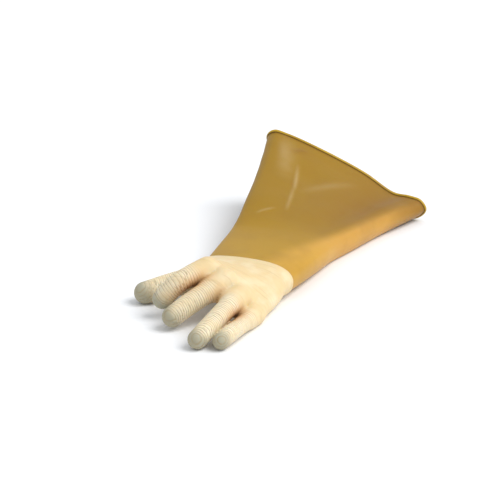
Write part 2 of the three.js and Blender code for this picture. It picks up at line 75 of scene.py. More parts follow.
# Wrist: an egg that is fuller on the little finger's side
WRIST_WIDTH = 0.1205
WRIST_THICKNESS = 0.0355
WRIST_HEIGHT = 0.03
WRIST_ROLL = 10.2
WRIST_EGG = 0.5
OVAL_POWER = 2.36
SKIRT_DEPTH = 0.0017

# Hand
PALM_LENGTH = 0.096
PALM_WIDTH = 0.118
PALM_THICKNESS = 0.034
PALM_EGG = 0.1
PALM_WAIST = 0.05
WAIST_PLACE = 0.22
WAIST_REACH = 0.15
ROLL_START = 0.1
HAND_YAW = -2.7
HAND_PITCH = 3.8
HAND_ROLL = 38.6
FINGER_LENGTH = 0.086
FINGER_DIAMETER = 0.029
THUMB_LENGTH = 0.0945
THUMB_DIAMETER = 0.0335
THUMB_HEADING = 53.8
THUMB_FALL = 10.0
TIP_TAPER = 0.91
WEB_PLACE = 0.34
WEB_GIRTH = 0.72
WEB_DROP = 0.0025
ROOT_REACH = 0.55
ROOT_SLIMMING = 0.9
KNUCKLE_ARCH = 0.02
KNUCKLE_TRIM = 0.004
KNUCKLE_BLEND = 0.012
SIDE_REACH = 0.38
THUMB_BLEND = 0.013
DIGIT_BLEND = 0.004
CREASE_BLEND = 0.0012
PALM_END_BLEND = 0.012
PATH_STEPS = 20
PALM_SIDES = 48
PALM_RINGS = 12
HAND_WALL = 0.0026
SKIRT_WALL = 0.0014
WALL_GROWTH = (-0.0125, -0.0165)
RUN_ON = 0.006

# Meshes
MERGE_DISTANCE = 1e-6
EDGE_MARGIN = 0.002
LARGEST_STEP = 0.002
SETTLING_PASSES = 6
LAST_PASSES = 2
NOISE_STEPS = (7.3, 3.1, 5.7)

# Ribs on the digits. A pair is the place where a fade has no effect, then the place of its full effect
RIBS_START = {"finger": 0.009, "thumb": 0.03}
RIBS_RISE = 0.02
RIBS_END = (-0.0125, -0.008)
FINE_START = {"finger": 0.014, "thumb": 0.034}
FINE_MARGIN = 0.002
ON_DIGIT = (0.003, 0.0005)
LEAN_FADE = (0.06, 0.0)
RIB_STRENGTH = {"middle": 0.75, "spread": 0.5, "least": 0.2, "size": 0.014, "seed": 3}
RIB_BALANCE = 0.7
TIP_FADE = (0.014, -0.004)
TIP_WANDER = {"size": 0.012, "shift": 0.006, "seed": 4}
WANDER_ROWS = (
    {"size": 0.017, "shift": 0.0021, "seed": 1},
    {"size": 0.0065, "shift": 0.0006, "seed": 2},
)

# Clefts between the digits: painted shade, dark in the middle, with a painted warm glow round them
CLEFT_STARTS = (0.007, 0.007, 0.012, 0.016, 0.016)
CLEFT_RISE = (0.0, 0.016)
GLOW_RISE = (-0.006, 0.012)
CLEFT_END = (0.075, 0.035)
CLEFT_LINE = {"aside": 0.002, "between": 0.0085}
CLEFT_DEPTH = {"between": 0.006, "share": 0.85}
GLOW_REACH = 0.012

# Slack waves and tones of the sleeve, with its painted shade and the painted shadow lines at its edges
WAVE_SIZE = 0.07
RIPPLE_SIZE = 0.028
RIPPLE_SHARE = 0.25
SLACK_RISE = (0.1, 0.8)
SLACK_FALL = (1.0, 0.93)
CREASE_FALL = (1.0, 0.97)
FLOOR_FREE = (0.006, 0.02)
FLOOR_SEAM = 0.35
# Painted light and shade: where the lit rounded lower side fades into the darker upper side
LIT_BAND_FADE = (0.045, -0.035)
# Painted shade: a darker valley just over the ridge, and the mouth's lower corner darkened
VALLEY_SHADE = {"over": 0.07, "width": 0.085, "rise": (0.25, 0.8), "depth": 0.9}
CORNER_SHADE = {"turns": (0.2, 0.05), "rise": (0.68, 1.0), "depth": 0.85}
WARMTH_FADE = (0.55, 0.05)
# Painted shadow lines on the sleeve beside the hand's edge and under the rolled rim
HAND_EDGE_SHADOW = {"width": 0.0022, "depth": 0.6}
RIM_EDGE_SHADOW = {"width": 0.003, "depth": 0.65}
CREASE_GIRTH = {"narrow": 0.3, "growth": 0.3}
CREASE_ENDS = (0.02, 0.98)

# Rolled rim
RIM_ROUNDS = 20
CORNER_TURN = 0.45
CORNER_WIDTH = 0.03
ROLL_UNEVENNESS = 0.05
SEAM_PLACE = 0.2
SEAM_WIDTH = 0.045

# How light spreads inside the rubber: how much of it, and how far its red, green and blue go
HAND_GLOW = {"weight": 0.15, "radius": (0.004, 0.0022, 0.001)}
SLEEVE_GLOW = {"weight": 0.12, "radius": (0.005, 0.0022, 0.0006)}
RIM_GLOW = {"weight": 0.08, "radius": (0.004, 0.002, 0.0006)}
LINES_TURN = (0, 0, 0.25)
LINES_SCALE = (25, 330, 40)

# Stage
FLOOR_SIZE = 6.0
CAMERA_TARGET = Vector((-0.0485, -0.0149, 0.04))
SENSOR_WIDTH = 36.0
SUN_SIDE = Vector((1.0, 0.1, 1.3))
SKY_COLOUR = (0.93, 0.965, 1.0)

# How the sleeve opens from the wrist to the mouth, in shares of its length
SLEEVE_ROWS = (
    {"along": 0.0, "spread": 0.0, "lift": 0.0},
    {"along": 0.12, "spread": 0.07, "lift": 0.02},
    {"along": 0.3, "spread": 0.15, "lift": 0.08},
    {"along": 0.4, "spread": 0.2, "lift": 0.2},
    {"along": 0.52, "spread": 0.33, "lift": 0.36},
    {"along": 0.75, "spread": 0.6, "lift": 0.63},
    {"along": 1.0, "spread": 1.0, "lift": 1.0},
)

# The slack mouth once round, in shares of its width and height
MOUTH_ROWS = (
    {"turn": 0.0, "across": 0.595, "height": 0.135},
    {"turn": 0.05, "across": 0.565, "height": 0.245},
    {"turn": 0.1, "across": 0.5, "height": 0.285},
    {"turn": 0.16, "across": 0.4, "height": 0.31},
    {"turn": 0.22, "across": 0.215, "height": 0.545},
    {"turn": 0.3, "across": -0.04, "height": 0.79},
    {"turn": 0.38, "across": -0.27, "height": 0.97},
    {"turn": 0.44, "across": -0.35, "height": 1.0},
    {"turn": 0.5, "across": -0.395, "height": 0.93},
    {"turn": 0.58, "across": -0.305, "height": 0.5},
    {"turn": 0.66, "across": -0.18, "height": 0.07},
    {"turn": 0.75, "across": 0.02, "height": 0.0},
    {"turn": 0.87, "across": 0.36, "height": 0.0},
    {"turn": 0.95, "across": 0.55, "height": 0.03},
)

# Fingers: the knuckle's place in shares of the palm, and the bends at the knuckle and the joints
FINGER_ROWS = (
    {
        "across": -0.345, "along": 0.825, "arch": -0.1, "length": 0.83, "girth": 0.96,
        "splay": 25, "bends": (37.5, 36, 16),
    },
    {
        "across": -0.118, "along": 0.886, "arch": 0.11, "length": 0.952, "girth": 1.0,
        "splay": 15.5, "bends": (39, 7, 6),
    },
    {
        "across": 0.111, "along": 0.995, "arch": 0.2, "length": 1.155, "girth": 0.91,
        "splay": 0, "bends": (12.3, 13.7, 12),
    },
    {
        "across": 0.37, "along": 0.991, "arch": 0.115, "length": 1.026, "girth": 0.77,
        "splay": 5.5, "bends": (6.3, 4, 12),
    },
)
FINGER_BONES = (0.51, 0.32, 0.17)
THUMB_BONES = (0.44, 0.31, 0.25)
THUMB_ROOT = {"across": -0.347, "along": 0.245}
THUMB_GIRTHS = (1.0, 1.0, 0.96, 0.86)

# The line round the sleeve where its flat upper side turns over to the round lower one
RIDGE_ROWS = (
    {"along": 0.0, "turn": 0.2},
    {"along": 0.15, "turn": 0.18},
    {"along": 0.26, "turn": 0.145},
    {"along": 0.44, "turn": 0.1},
    {"along": 0.59, "turn": 0.085},
    {"along": 0.9, "turn": 0.06},
    {"along": 1.0, "turn": 0.05},
)

# Pressed creases on the sleeve, each a line from one place to another: along its length and round it
CREASE_ROWS = (
    {"from": (0.83, 0.328), "to": (0.64, 0.3), "width": 0.0024, "height": 0.0011, "powder": 0.4, "dark_patch": 0},
    {"from": (0.68, 0.307), "to": (0.48, 0.282), "width": 0.0022, "height": 0.0008, "powder": 0.28, "dark_patch": 0},
    {"from": (0.41, 0.36), "to": (0.47, 0.315), "width": 0.002, "height": 0.0007, "powder": 0.32, "dark_patch": 0},
    {"from": (0.98, 0.385), "to": (0.74, 0.345), "width": 0.013, "height": 0.0009, "powder": 0.26, "dark_patch": 0},
    {"from": (0.88, 0.215), "to": (0.66, 0.28), "width": 0.006, "height": 0.0005, "powder": 0.14, "dark_patch": 0},
    {"from": (0.955, 0.325), "to": (0.9, 0.355), "width": 0.005, "height": 0.0008, "powder": 0, "dark_patch": 0.6},
)


# Curves and tables


def hermite(start, start_slope, end, end_slope, share):
    """A smooth blend from one value to another with a slope at each end."""
    squared = share * share
    cubed = squared * share
    return (
        start * (2 * cubed - 3 * squared + 1)
        + start_slope * (cubed - 2 * squared + share)
        + end * (3 * squared - 2 * cubed)
        + end_slope * (cubed - squared)
    )


def table_values(rows, key, column, places):
    """Values of a table's column, smoothly between the rows on both sides of each place."""
    at = np.array([row[key] for row in rows])
    values = np.array([row[column] for row in rows])
    before = np.maximum(np.arange(len(rows)) - 1, 0)
    after = np.minimum(np.arange(len(rows)) + 1, len(rows) - 1)
    slopes = (values[after] - values[before]) / (at[after] - at[before])
    row = np.clip(np.searchsorted(at, places, side="left") - 1, 0, len(rows) - 2)
    span = at[row + 1] - at[row]
    share = np.clip((places - at[row]) / span, 0, 1)
    return hermite(values[row], slopes[row] * span, values[row + 1], slopes[row + 1] * span, share)


def through_points(points, places, closed):
    """Places on a smooth line through points, where 1.5 is halfway from the second point to the third."""
    points = np.asarray(points, float)
    if closed:
        padded = np.vstack((points[-1:], points, points[:2]))
    else:
        padded = np.vstack((2 * points[:1] - points[1:2], points, 2 * points[-1:] - points[-2:-1]))
    index = np.clip(np.floor(places).astype(int), 0, len(padded) - 4)
    share = (places - index)[:, None]
    first, second, third, fourth = (padded[index + step] for step in range(4))
    gaps = [
        np.sqrt(np.linalg.norm(end - start, axis=1))[:, None]
        for start, end in ((first, second), (second, third), (third, fourth))
    ]
    middle = (third - second) / gaps[1]
    leaving = (second - first) / gaps[0] - (third - first) / (gaps[0] + gaps[1]) + middle
    arriving = middle - (fourth - second) / (gaps[1] + gaps[2]) + (fourth - third) / gaps[2]
    return hermite(second, leaving * gaps[1], third, arriving * gaps[1], share)


def smoothstep(low, high, values):
    """From 0 at low to 1 at high, level at both ends. High may be the smaller one."""
    share = np.clip((values - low) / (high - low), 0, 1)
    return share * share * (3 - 2 * share)


def noise_at(places, size, seed):
    """Smooth noise from -1 to 1 with patches of about this size."""
    shift = Vector([seed * step for step in NOISE_STEPS])
    return np.array([noise.noise(Vector(place) / size + shift) for place in places])


# Sleeve shape


def wrist_oval(turns):
    """The wrist's oval at turns from 0 to 1: places across and heights."""
    angles = turns * 2 * np.pi
    across = np.sign(np.cos(angles)) * np.abs(np.cos(angles)) ** (2 / OVAL_POWER)
    upwards = np.sign(np.sin(angles)) * np.abs(np.sin(angles)) ** (2 / OVAL_POWER)
    x = WRIST_WIDTH / 2 * across
    z = WRIST_THICKNESS / 2 * (1 + WRIST_EGG * across) * upwards
    roll = math.radians(WRIST_ROLL)
    return x * math.cos(roll) + z * math.sin(roll), WRIST_HEIGHT - x * math.sin(roll) + z * math.cos(roll)


def mouth_line(turns):
    """The slack mouth at turns round the sleeve: places across and heights."""
    starts = [row["turn"] for row in MOUTH_ROWS] + [1.0]
    places = np.interp(turns % 1.0, starts, np.arange(len(starts)))
    points = [(row["across"] * MOUTH_WIDTH, MOUTH_FLOOR + row["height"] * MOUTH_HEIGHT) for row in MOUTH_ROWS]
    line = through_points(points, places, closed=True)
    return line[:, 0], np.maximum(line[:, 1], MOUTH_FLOOR)


def sleeve_outline(along, turns):
    """The sleeve's plain outside at shares of its length and turns round it: places across and heights."""
    share = np.clip(along, 0, 1)
    spread = table_values(SLEEVE_ROWS, "along", "spread", share)
    lift = table_values(SLEEVE_ROWS, "along", "lift", share)
    wrist_across, wrist_height = wrist_oval(turns)
    mouth_across, mouth_height = mouth_line(turns)
    across = wrist_across + spread * (mouth_across - wrist_across)
    height = wrist_height + lift * (mouth_height - wrist_height)
    sag = SLEEVE_SAG * np.sin(np.pi * share) * np.maximum(0, 1 - height / SAG_REACH)
    return across, np.maximum(height - sag, 0)


def sleeve_places(along, turns, margin):
    """Places on the sleeve, moved outwards in its section by a margin."""
    nearby = 0.001
    before = sleeve_outline(along, turns - nearby)
    after = sleeve_outline(along, turns + nearby)
    across, height = sleeve_outline(along, turns)
    tangent = np.stack((after[0] - before[0], after[1] - before[1]), axis=1)
    tangent /= np.linalg.norm(tangent, axis=1)[:, None]
    x = across + tangent[:, 1] * margin
    z = height - tangent[:, 0] * margin
    return np.stack((x, along * SLEEVE_LENGTH, z), axis=1) + WRIST_PLACE


def crease_masks(along, turns):
    """How far the pressed creases raise each place, how powdery they make it, and how dark a patch they lay on
    it.
    """
    raised = np.zeros_like(along)
    powder = np.zeros_like(along)
    dark_patch = np.zeros_like(along)
    for row in CREASE_ROWS:
        girth = CREASE_GIRTH["narrow"] + CREASE_GIRTH["growth"] * row["from"][0]
        scale = np.array((SLEEVE_LENGTH, girth))
        start = np.array(row["from"]) * scale
        axis = np.array(row["to"]) * scale - start
        place = np.stack((along, turns), axis=1) * scale - start
        share = np.clip(place @ axis / (axis @ axis), 0, 1)
        distance = np.linalg.norm(place - share[:, None] * axis, axis=1)
        faded = np.sqrt(np.sin(np.pi * np.clip(share, *CREASE_ENDS)))
        ridge = np.exp(-((distance / row["width"]) ** 2)) * faded
        raised += row["height"] * ridge
        powder = np.maximum(powder, row["powder"] * ridge)
        dark_patch = np.maximum(dark_patch, row["dark_patch"] * ridge)
    return raised, powder, dark_patch


# Hand shape


def turned(vector, axis, degrees):
    return Matrix.Rotation(math.radians(degrees), 3, axis) @ vector


def hand_directions():
    """Forward to the fingers, across to the little finger, and up off the hand's back."""
    yaw = math.radians(HAND_YAW)
    flat_across = Vector((math.cos(yaw), -math.sin(yaw), 0))
    forward = turned(Vector((-math.sin(yaw), -math.cos(yaw), 0)), flat_across, -HAND_PITCH)
    across = turned(flat_across, forward, -HAND_ROLL)
    return forward, across, forward.cross(across)


def digit_of(joints, radii):
    """A digit: its joints, and a smooth path through them with a radius and a reach at each step."""
    joints = np.array(joints)
    last = len(joints) - 1
    fine = through_points(joints, np.linspace(0, last, 8 * PATH_STEPS), closed=False)
    reach = np.concatenate(((0,), np.cumsum(np.linalg.norm(np.diff(fine, axis=0), axis=1))))
    even = np.linspace(0, reach[-1], PATH_STEPS)
    path = np.stack([np.interp(even, reach, fine[:, axis]) for axis in range(3)], axis=1)
    path_radii = np.interp(np.linspace(0, last, PATH_STEPS), np.arange(last + 1), radii)
    return {"joints": joints, "radii": radii, "path": path, "path_radii": path_radii, "reach": even}


def finger_of(row):
    forward, across, up = hand_directions()
    knuckle = Vector((0, 0, WRIST_HEIGHT))
    knuckle += across * row["across"] * PALM_WIDTH + forward * row["along"] * PALM_LENGTH
    knuckle += up * row["arch"] * PALM_THICKNESS
    heading = turned(forward, up, -row["splay"])
    hinge = heading.cross(up)
    joints = [knuckle]
    bend = 0
    for share, more in zip(FINGER_BONES, row["bends"]):
        bend += more
        joints.append(joints[-1] + turned(heading, hinge, -bend) * share * row["length"] * FINGER_LENGTH)
    tapers = np.linspace(1, TIP_TAPER, len(joints))
    return digit_of(joints, row["girth"] * FINGER_DIAMETER / 2 * tapers)


def thumb_of():
    radii = np.array(THUMB_GIRTHS) * THUMB_DIAMETER / 2
    fall = math.radians(THUMB_FALL)
    heading = math.radians(THUMB_HEADING)
    level = math.cos(fall)
    direction = Vector((-math.sin(heading) * level, -math.cos(heading) * level, -math.sin(fall)))
    height = radii[-1] + THUMB_LENGTH * math.sin(fall)
    joints = [Vector((THUMB_ROOT["across"] * PALM_WIDTH, -THUMB_ROOT["along"] * PALM_LENGTH, height))]
    for share in THUMB_BONES:
        joints.append(joints[-1] + direction * share * THUMB_LENGTH)
    return digit_of(joints, radii)


FINGERS = [finger_of(row) for row in FINGER_ROWS]
THUMB = thumb_of()
DIGITS = FINGERS + [THUMB]
KNUCKLE_SPAN = FINGERS[-1]["joints"][0] - FINGERS[0]["joints"][0]
KNUCKLE_RISE = np.array(hand_directions()[2]) * KNUCKLE_ARCH * PALM_THICKNESS
KNUCKLE_CENTRE = FINGERS[0]["joints"][0] + KNUCKLE_SPAN / 2 + KNUCKLE_RISE
KNUCKLE_WIDTH = np.linalg.norm(KNUCKLE_SPAN) + FINGERS[0]["radii"][0] + FINGERS[-1]["radii"][0]
KNUCKLE_HALF_WIDTH = KNUCKLE_WIDTH / 2 - KNUCKLE_TRIM


def rod_distance(places, start, end, start_radius, end_radius, open_ended=False):
    """Distance from a rod with an even taper, and the share of the rod's length that is nearest."""
    axis = end - start
    share = (places - start) @ axis / (axis @ axis)
    held = np.clip(share, 0, 1)
    gap = places - start - held[:, None] * axis
    distance = np.sqrt(np.einsum("ij,ij->i", gap, gap)) - (start_radius + held * (end_radius - start_radius))
    return distance, np.maximum(share, 0) if open_ended else held


def digit_distance(places, digit):
    """Distance from a digit, and how far along it each place lies, past its end on the round tip."""
    nearest = np.full(len(places), 1.0)
    reach = np.zeros(len(places))
    path, radii, steps = digit["path"], digit["path_radii"], digit["reach"]
    last = len(path) - 2
    for step in range(last + 1):
        distance, share = rod_distance(
            places, path[step], path[step + 1], radii[step], radii[step + 1], open_ended=step == last
        )
        closer = distance < nearest
        nearest = np.where(closer, distance, nearest)
        reach = np.where(closer, steps[step] + share * (steps[step + 1] - steps[step]), reach)
    return nearest, reach


def joined(first, second, width):
    """The smaller of two distances, rounded where they are alike."""
    overlap = np.maximum(width - np.abs(first - second), 0) / width
    return np.minimum(first, second) - overlap * overlap * width / 4


def palm_excess(section, x, z):
    """How far outside the palm's oval a place lies, as a share of the oval's size there."""
    cos, sin = np.cos(section["roll"]), np.sin(section["roll"])
    across = ((x - section["x"]) * cos - (z - section["z"]) * sin) / section["half_width"]
    upwards = (x - section["x"]) * sin + (z - section["z"]) * cos
    thickness = section["half_thickness"] * (1 + section["egg"] * np.clip(across, -1, 1)) + section["margin"]
    return (np.abs(across) ** OVAL_POWER + np.abs(upwards / thickness) ** OVAL_POWER) ** (1 / OVAL_POWER) - 1


def palm_reach(x):
    """How far the palm reaches towards the fingers at places across it, along the slanting knuckles."""
    skew = np.clip((x - KNUCKLE_CENTRE[0]) / KNUCKLE_SPAN[0], -0.5, 0.5)
    return -KNUCKLE_CENTRE[1] - skew * KNUCKLE_SPAN[1]


def palm_section(share):
    """The palm's oval at shares of the way from the wrist line to the knuckles."""
    eased = smoothstep(0, 1, share)
    rolled = smoothstep(ROLL_START, 1, share)
    waist = 1 - PALM_WAIST * np.exp(-(((share - WAIST_PLACE) / WAIST_REACH) ** 2))

    def between(wrist, knuckles):
        return wrist + (knuckles - wrist) * eased

    return {
        "x": KNUCKLE_CENTRE[0] * share,
        "z": WRIST_HEIGHT + (KNUCKLE_CENTRE[2] - WRIST_HEIGHT) * share,
        "roll": np.radians(WRIST_ROLL + (HAND_ROLL - WRIST_ROLL) * rolled),
        "half_width": between(WRIST_WIDTH / 2 + SKIRT_DEPTH, KNUCKLE_HALF_WIDTH) * waist,
        "half_thickness": between(WRIST_THICKNESS / 2, PALM_THICKNESS / 2),
        "margin": SKIRT_DEPTH * (1 - eased),
        "egg": between(WRIST_EGG, PALM_EGG),
    }


def palm_distance(places):
    reach = palm_reach(places[:, 0])
    section = palm_section(np.maximum(-places[:, 1] / reach, 0))
    near = 0.0005
    x, z = places[:, 0], places[:, 2]
    excess = palm_excess(section, x, z)
    slope_x = palm_excess(section, x + near, z) - palm_excess(section, x - near, z)
    slope_z = palm_excess(section, x, z + near) - palm_excess(section, x, z - near)
    slope = np.maximum(np.hypot(slope_x, slope_z) / (2 * near), 0.5 / section["half_width"])
    beyond = -places[:, 1] - reach
    return -joined(-excess / slope, -beyond, PALM_END_BLEND)


def palm_ring(share, turns, inset):
    """Places on the palm once round, at one share of the way to the knuckles and inset from its outside."""
    section = palm_section(np.full(len(turns), max(share, 0.0)))
    angles = turns * 2 * np.pi
    across = np.sign(np.cos(angles)) * np.abs(np.cos(angles)) ** (2 / OVAL_POWER)
    upwards = np.sign(np.sin(angles)) * np.abs(np.sin(angles)) ** (2 / OVAL_POWER)
    upwards *= section["half_thickness"] * (1 + section["egg"] * across) + section["margin"] - inset
    across = across * (section["half_width"] - inset)
    cos, sin = np.cos(section["roll"]), np.sin(section["roll"])
    x = section["x"] + across * cos + upwards * sin
    z = section["z"] - across * sin + upwards * cos
    y = -share * palm_reach(x) if share > 0 else np.full(len(turns), RUN_ON)
    return np.stack((x, y, z), axis=1)


def root_distance(places, digit):
    start, after = digit["joints"][:2]
    end = start + (after - start) * ROOT_REACH
    return rod_distance(places, start, end, digit["radii"][0], digit["radii"][1] * ROOT_SLIMMING)[0]


def web_distance(places, left, right):
    """Distance from the skin that joins two fingers past their knuckles, on the palm's side."""
    drop = np.array(hand_directions()[2]) * WEB_DROP
    bones = [digit["joints"][:2] for digit in (left, right)]
    ends = [start + (end - start) * WEB_PLACE - drop for start, end in bones]
    girths = [digit["radii"][0] * WEB_GIRTH for digit in (left, right)]
    return rod_distance(places, *ends, *girths)[0]


def side_distance(places):
    """Distance from the palm's fleshy side, which runs from the little finger's knuckle towards the wrist."""
    knuckle, girth = FINGERS[-1]["joints"][0], FINGERS[-1]["radii"][0]
    across = WRIST_WIDTH / 2 - girth
    roll = math.radians(WRIST_ROLL)
    wrist = np.array((across * math.cos(roll), 0.0, WRIST_HEIGHT - across * math.sin(roll)))
    return rod_distance(places, knuckle + (wrist - knuckle) * SIDE_REACH, knuckle, girth, girth)[0]


def hand_distance(places):
    """Distance from the hand's smooth outer skin, then each digit's distance and the reach along it."""
    digits = [digit_distance(places, digit) for digit in DIGITS]
    webs = [web_distance(places, left, right) for left, right in zip(FINGERS, FINGERS[1:])]
    roots = [root_distance(places, finger) for finger in FINGERS]
    distance = joined(palm_distance(places), np.minimum.reduce(webs), KNUCKLE_BLEND)
    distance = joined(distance, np.minimum.reduce(roots), KNUCKLE_BLEND)
    distance = joined(distance, side_distance(places), DIGIT_BLEND)
    distance = joined(distance, root_distance(places, THUMB), THUMB_BLEND)
    nearest = digits[0][0]
    for near, _ in digits[1:]:
        nearest = joined(nearest, near, CREASE_BLEND)
    distance = joined(distance, nearest, DIGIT_BLEND)
    return distance, digits


# Meshes


def finished(name, mesh, node, material):
    """Links a piece, smooth shaded, in place of the node that it stands for."""
    piece = bpy.data.objects.new(name, mesh)
    bpy.context.scene.collection.objects.link(piece)
    mesh.polygons.foreach_set("use_smooth", np.ones(len(mesh.polygons), bool))
    mesh.materials.append(material)
    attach(piece, "root")
    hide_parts(node)
    return piece


def bent_grid(name, columns, rows, place_of, values_of):
    """A mesh from a flat grid, whose shares across and up give the places and the named values."""
    shape = bmesh.new()
    bmesh.ops.create_grid(shape, x_segments=columns, y_segments=rows, size=0.5)
    shares = np.array([vertex.co[:2] for vertex in shape.verts]) + 0.5
    values = values_of(shares[:, 0], shares[:, 1])
    layers = {key: shape.verts.layers.float.new(key) for key in values}
    for index, (vertex, place) in enumerate(zip(shape.verts, place_of(shares[:, 0], shares[:, 1]))):
        vertex.co = place
        for key, layer in layers.items():
            vertex[layer] = float(values[key][index])
    bmesh.ops.remove_doubles(shape, verts=shape.verts, dist=MERGE_DISTANCE)
    bmesh.ops.recalc_face_normals(shape, faces=shape.faces)
    return as_mesh(shape, name)


def open_edges(shape):
    return [edge for edge in shape.edges if edge.is_boundary]


def rough_hand(inset):
    """The hand as overlapping closed shapes: a tube of rings for the palm, and balls along the digits."""
    shape = bmesh.new()
    turns = np.arange(PALM_SIDES) / PALM_SIDES
    shares = np.linspace(0, 1, PALM_RINGS)
    rings = [[shape.verts.new(place) for place in palm_ring(share, turns, inset)] for share in shares]
    for ring, after in zip(rings, rings[1:]):
        for side in range(len(ring)):
            shape.faces.new((ring[side - 1], ring[side], after[side], after[side - 1]))
    bmesh.ops.holes_fill(shape, edges=open_edges(shape), sides=0)
    bmesh.ops.recalc_face_normals(shape, faces=shape.faces)
    for digit in DIGITS:
        for place, radius in zip(digit["path"], digit["path_radii"]):
            bmesh.ops.create_icosphere(
                shape, subdivisions=3, radius=radius - inset, matrix=Matrix.Translation(Vector(place))
            )
    bmesh.ops.translate(shape, verts=shape.verts, vec=Vector(WRIST_PLACE))
    return as_mesh(shape, "rough")


def even_skin(rough, voxel):
    """An even mesh over the rough hand, cut off flat at the wrist."""
    holder = bpy.data.objects.new("skin", rough)
    bpy.context.scene.collection.objects.link(holder)
    remesh = holder.modifiers.new("Remesh", "REMESH")
    remesh.mode = "VOXEL"
    remesh.voxel_size = voxel
    held = bpy.context.evaluated_depsgraph_get()
    even = bpy.data.meshes.new_from_object(holder.evaluated_get(held))
    bpy.data.objects.remove(holder)
    skin = bmesh.new()
    skin.from_mesh(even)
    everything = skin.verts[:] + skin.edges[:] + skin.faces[:]
    bmesh.ops.bisect_plane(
        skin, geom=everything, plane_co=(0, WRIST_LINE, 0), plane_no=(0, 1, 0), clear_outer=True
    )
    return as_mesh(skin, "even")


def wall_at(places):
    """The hand's wall: thinner over the sleeve's end."""
    return SKIRT_WALL + (HAND_WALL - SKIRT_WALL) * smoothstep(*WALL_GROWTH, places[:, 1])


def relax(mesh):
    """Moves each point halfway to the middle of its neighbours, but for those on the wrist's edge."""
    places = read_vectors(mesh.vertices, "co")
    pairs = np.empty(len(mesh.edges) * 2, np.int32)
    mesh.edges.foreach_get("vertices", pairs)
    first, second = pairs.reshape(-1, 2).T
    count = np.bincount(pairs, minlength=len(places))
    middles = np.stack(
        [
            np.bincount(first, places[second, axis], len(places))
            + np.bincount(second, places[first, axis], len(places))
            for axis in range(3)
        ],
        axis=1,
    ) / count[:, None]
    free = places[:, 1] < WRIST_LINE - EDGE_MARGIN
    places[free] = (places[free] + middles[free]) / 2
    write_places(mesh, places)


def settle(mesh, passes, inside=False):
    """Moves a mesh's points onto the hand's smooth skin or its inside, and keeps the wrist's edge flat."""
    for _ in range(passes):
        relax(mesh)
        places = read_vectors(mesh.vertices, "co")
        distance, _ = hand_distance(places - WRIST_PLACE)
        lowest = 0.0
        if inside:
            distance += wall_at(places - WRIST_PLACE)
            lowest = HAND_WALL
        step = np.clip(distance, -LARGEST_STEP, LARGEST_STEP)
        places = places - normals_of(mesh) * step[:, None]
        write_places(mesh, places, lowest)


def read_vectors(items, name):
    flat = np.empty(len(items) * 3, np.float32)
    items.foreach_get(name, flat)
    return flat.reshape(-1, 3).astype(float)


def normals_of(mesh):
    normals = read_vectors(mesh.vertex_normals, "vector")
    edge = read_vectors(mesh.vertices, "co")[:, 1] > WRIST_LINE - 1e-5
    normals[edge, 1] = 0
    return normals


def write_places(mesh, places, lowest=0.0):
    places[:, 2] = np.maximum(places[:, 2], lowest)
    mesh.vertices.foreach_set("co", places.astype(np.float32).ravel())
    mesh.update()


def write_values(mesh, name, values):
    mesh.attributes.new(name, "FLOAT", "POINT").data.foreach_set("value", values.astype(np.float32))


def as_mesh(shape, name):
    mesh = bpy.data.meshes.new(name)
    shape.to_mesh(mesh)
    shape.free()
    return mesh


def start_of(starts, digits):
    """Where something starts along each of the digits, which differs between fingers and thumb."""
    return np.where(digits == len(DIGITS) - 1, starts["thumb"], starts["finger"])


def digit_marks(places):
    """For each place: its digit, the reach along it and to its end, and how near it and the next one are."""
    digits = hand_distance(places - WRIST_PLACE)[1]
    distances = np.stack([distance for distance, _ in digits])
    order = np.argsort(distances, axis=0)
    index = np.arange(len(places))
    reach = np.stack([reach for _, reach in digits])[order[0], index]
    ends = np.array([digit["reach"][-1] for digit in DIGITS])[order[0]]
    middles = np.stack(
        [
            np.stack([np.interp(along, digit["reach"], digit["path"][:, axis]) for axis in range(3)], axis=1)
            for digit, (_, along) in zip(DIGITS, digits)
        ]
    )[order[0], index]
    return {
        "digit": order[0],
        "raised": (places - WRIST_PLACE - middles) @ np.array(hand_directions()[2]),
        "reach": reach,
        "to_end": ends - reach,
        "off": distances[order[0], index],
        "next": distances[order[1], index],
    }


def with_finer_digits(mesh):
    """Cuts the faces of the digits in four, so that their ribs are drawn finely."""
    marks = digit_marks(read_vectors(mesh.vertices, "co"))
    on_digit = (marks["off"] < FINE_MARGIN) & (marks["reach"] > start_of(FINE_START, marks["digit"]))
    shape = bmesh.new()
    shape.from_mesh(mesh)
    shape.verts.ensure_lookup_table()
    for vertex in shape.verts:
        vertex.tag = bool(on_digit[vertex.index])
    faces = [face for face in shape.faces if all(vertex.tag for vertex in face.verts)]
    edges = list({edge for face in faces for edge in face.edges})
    bmesh.ops.subdivide_edges(shape, edges=edges, cuts=1, use_grid_fill=True)
    return as_mesh(shape, "hand")


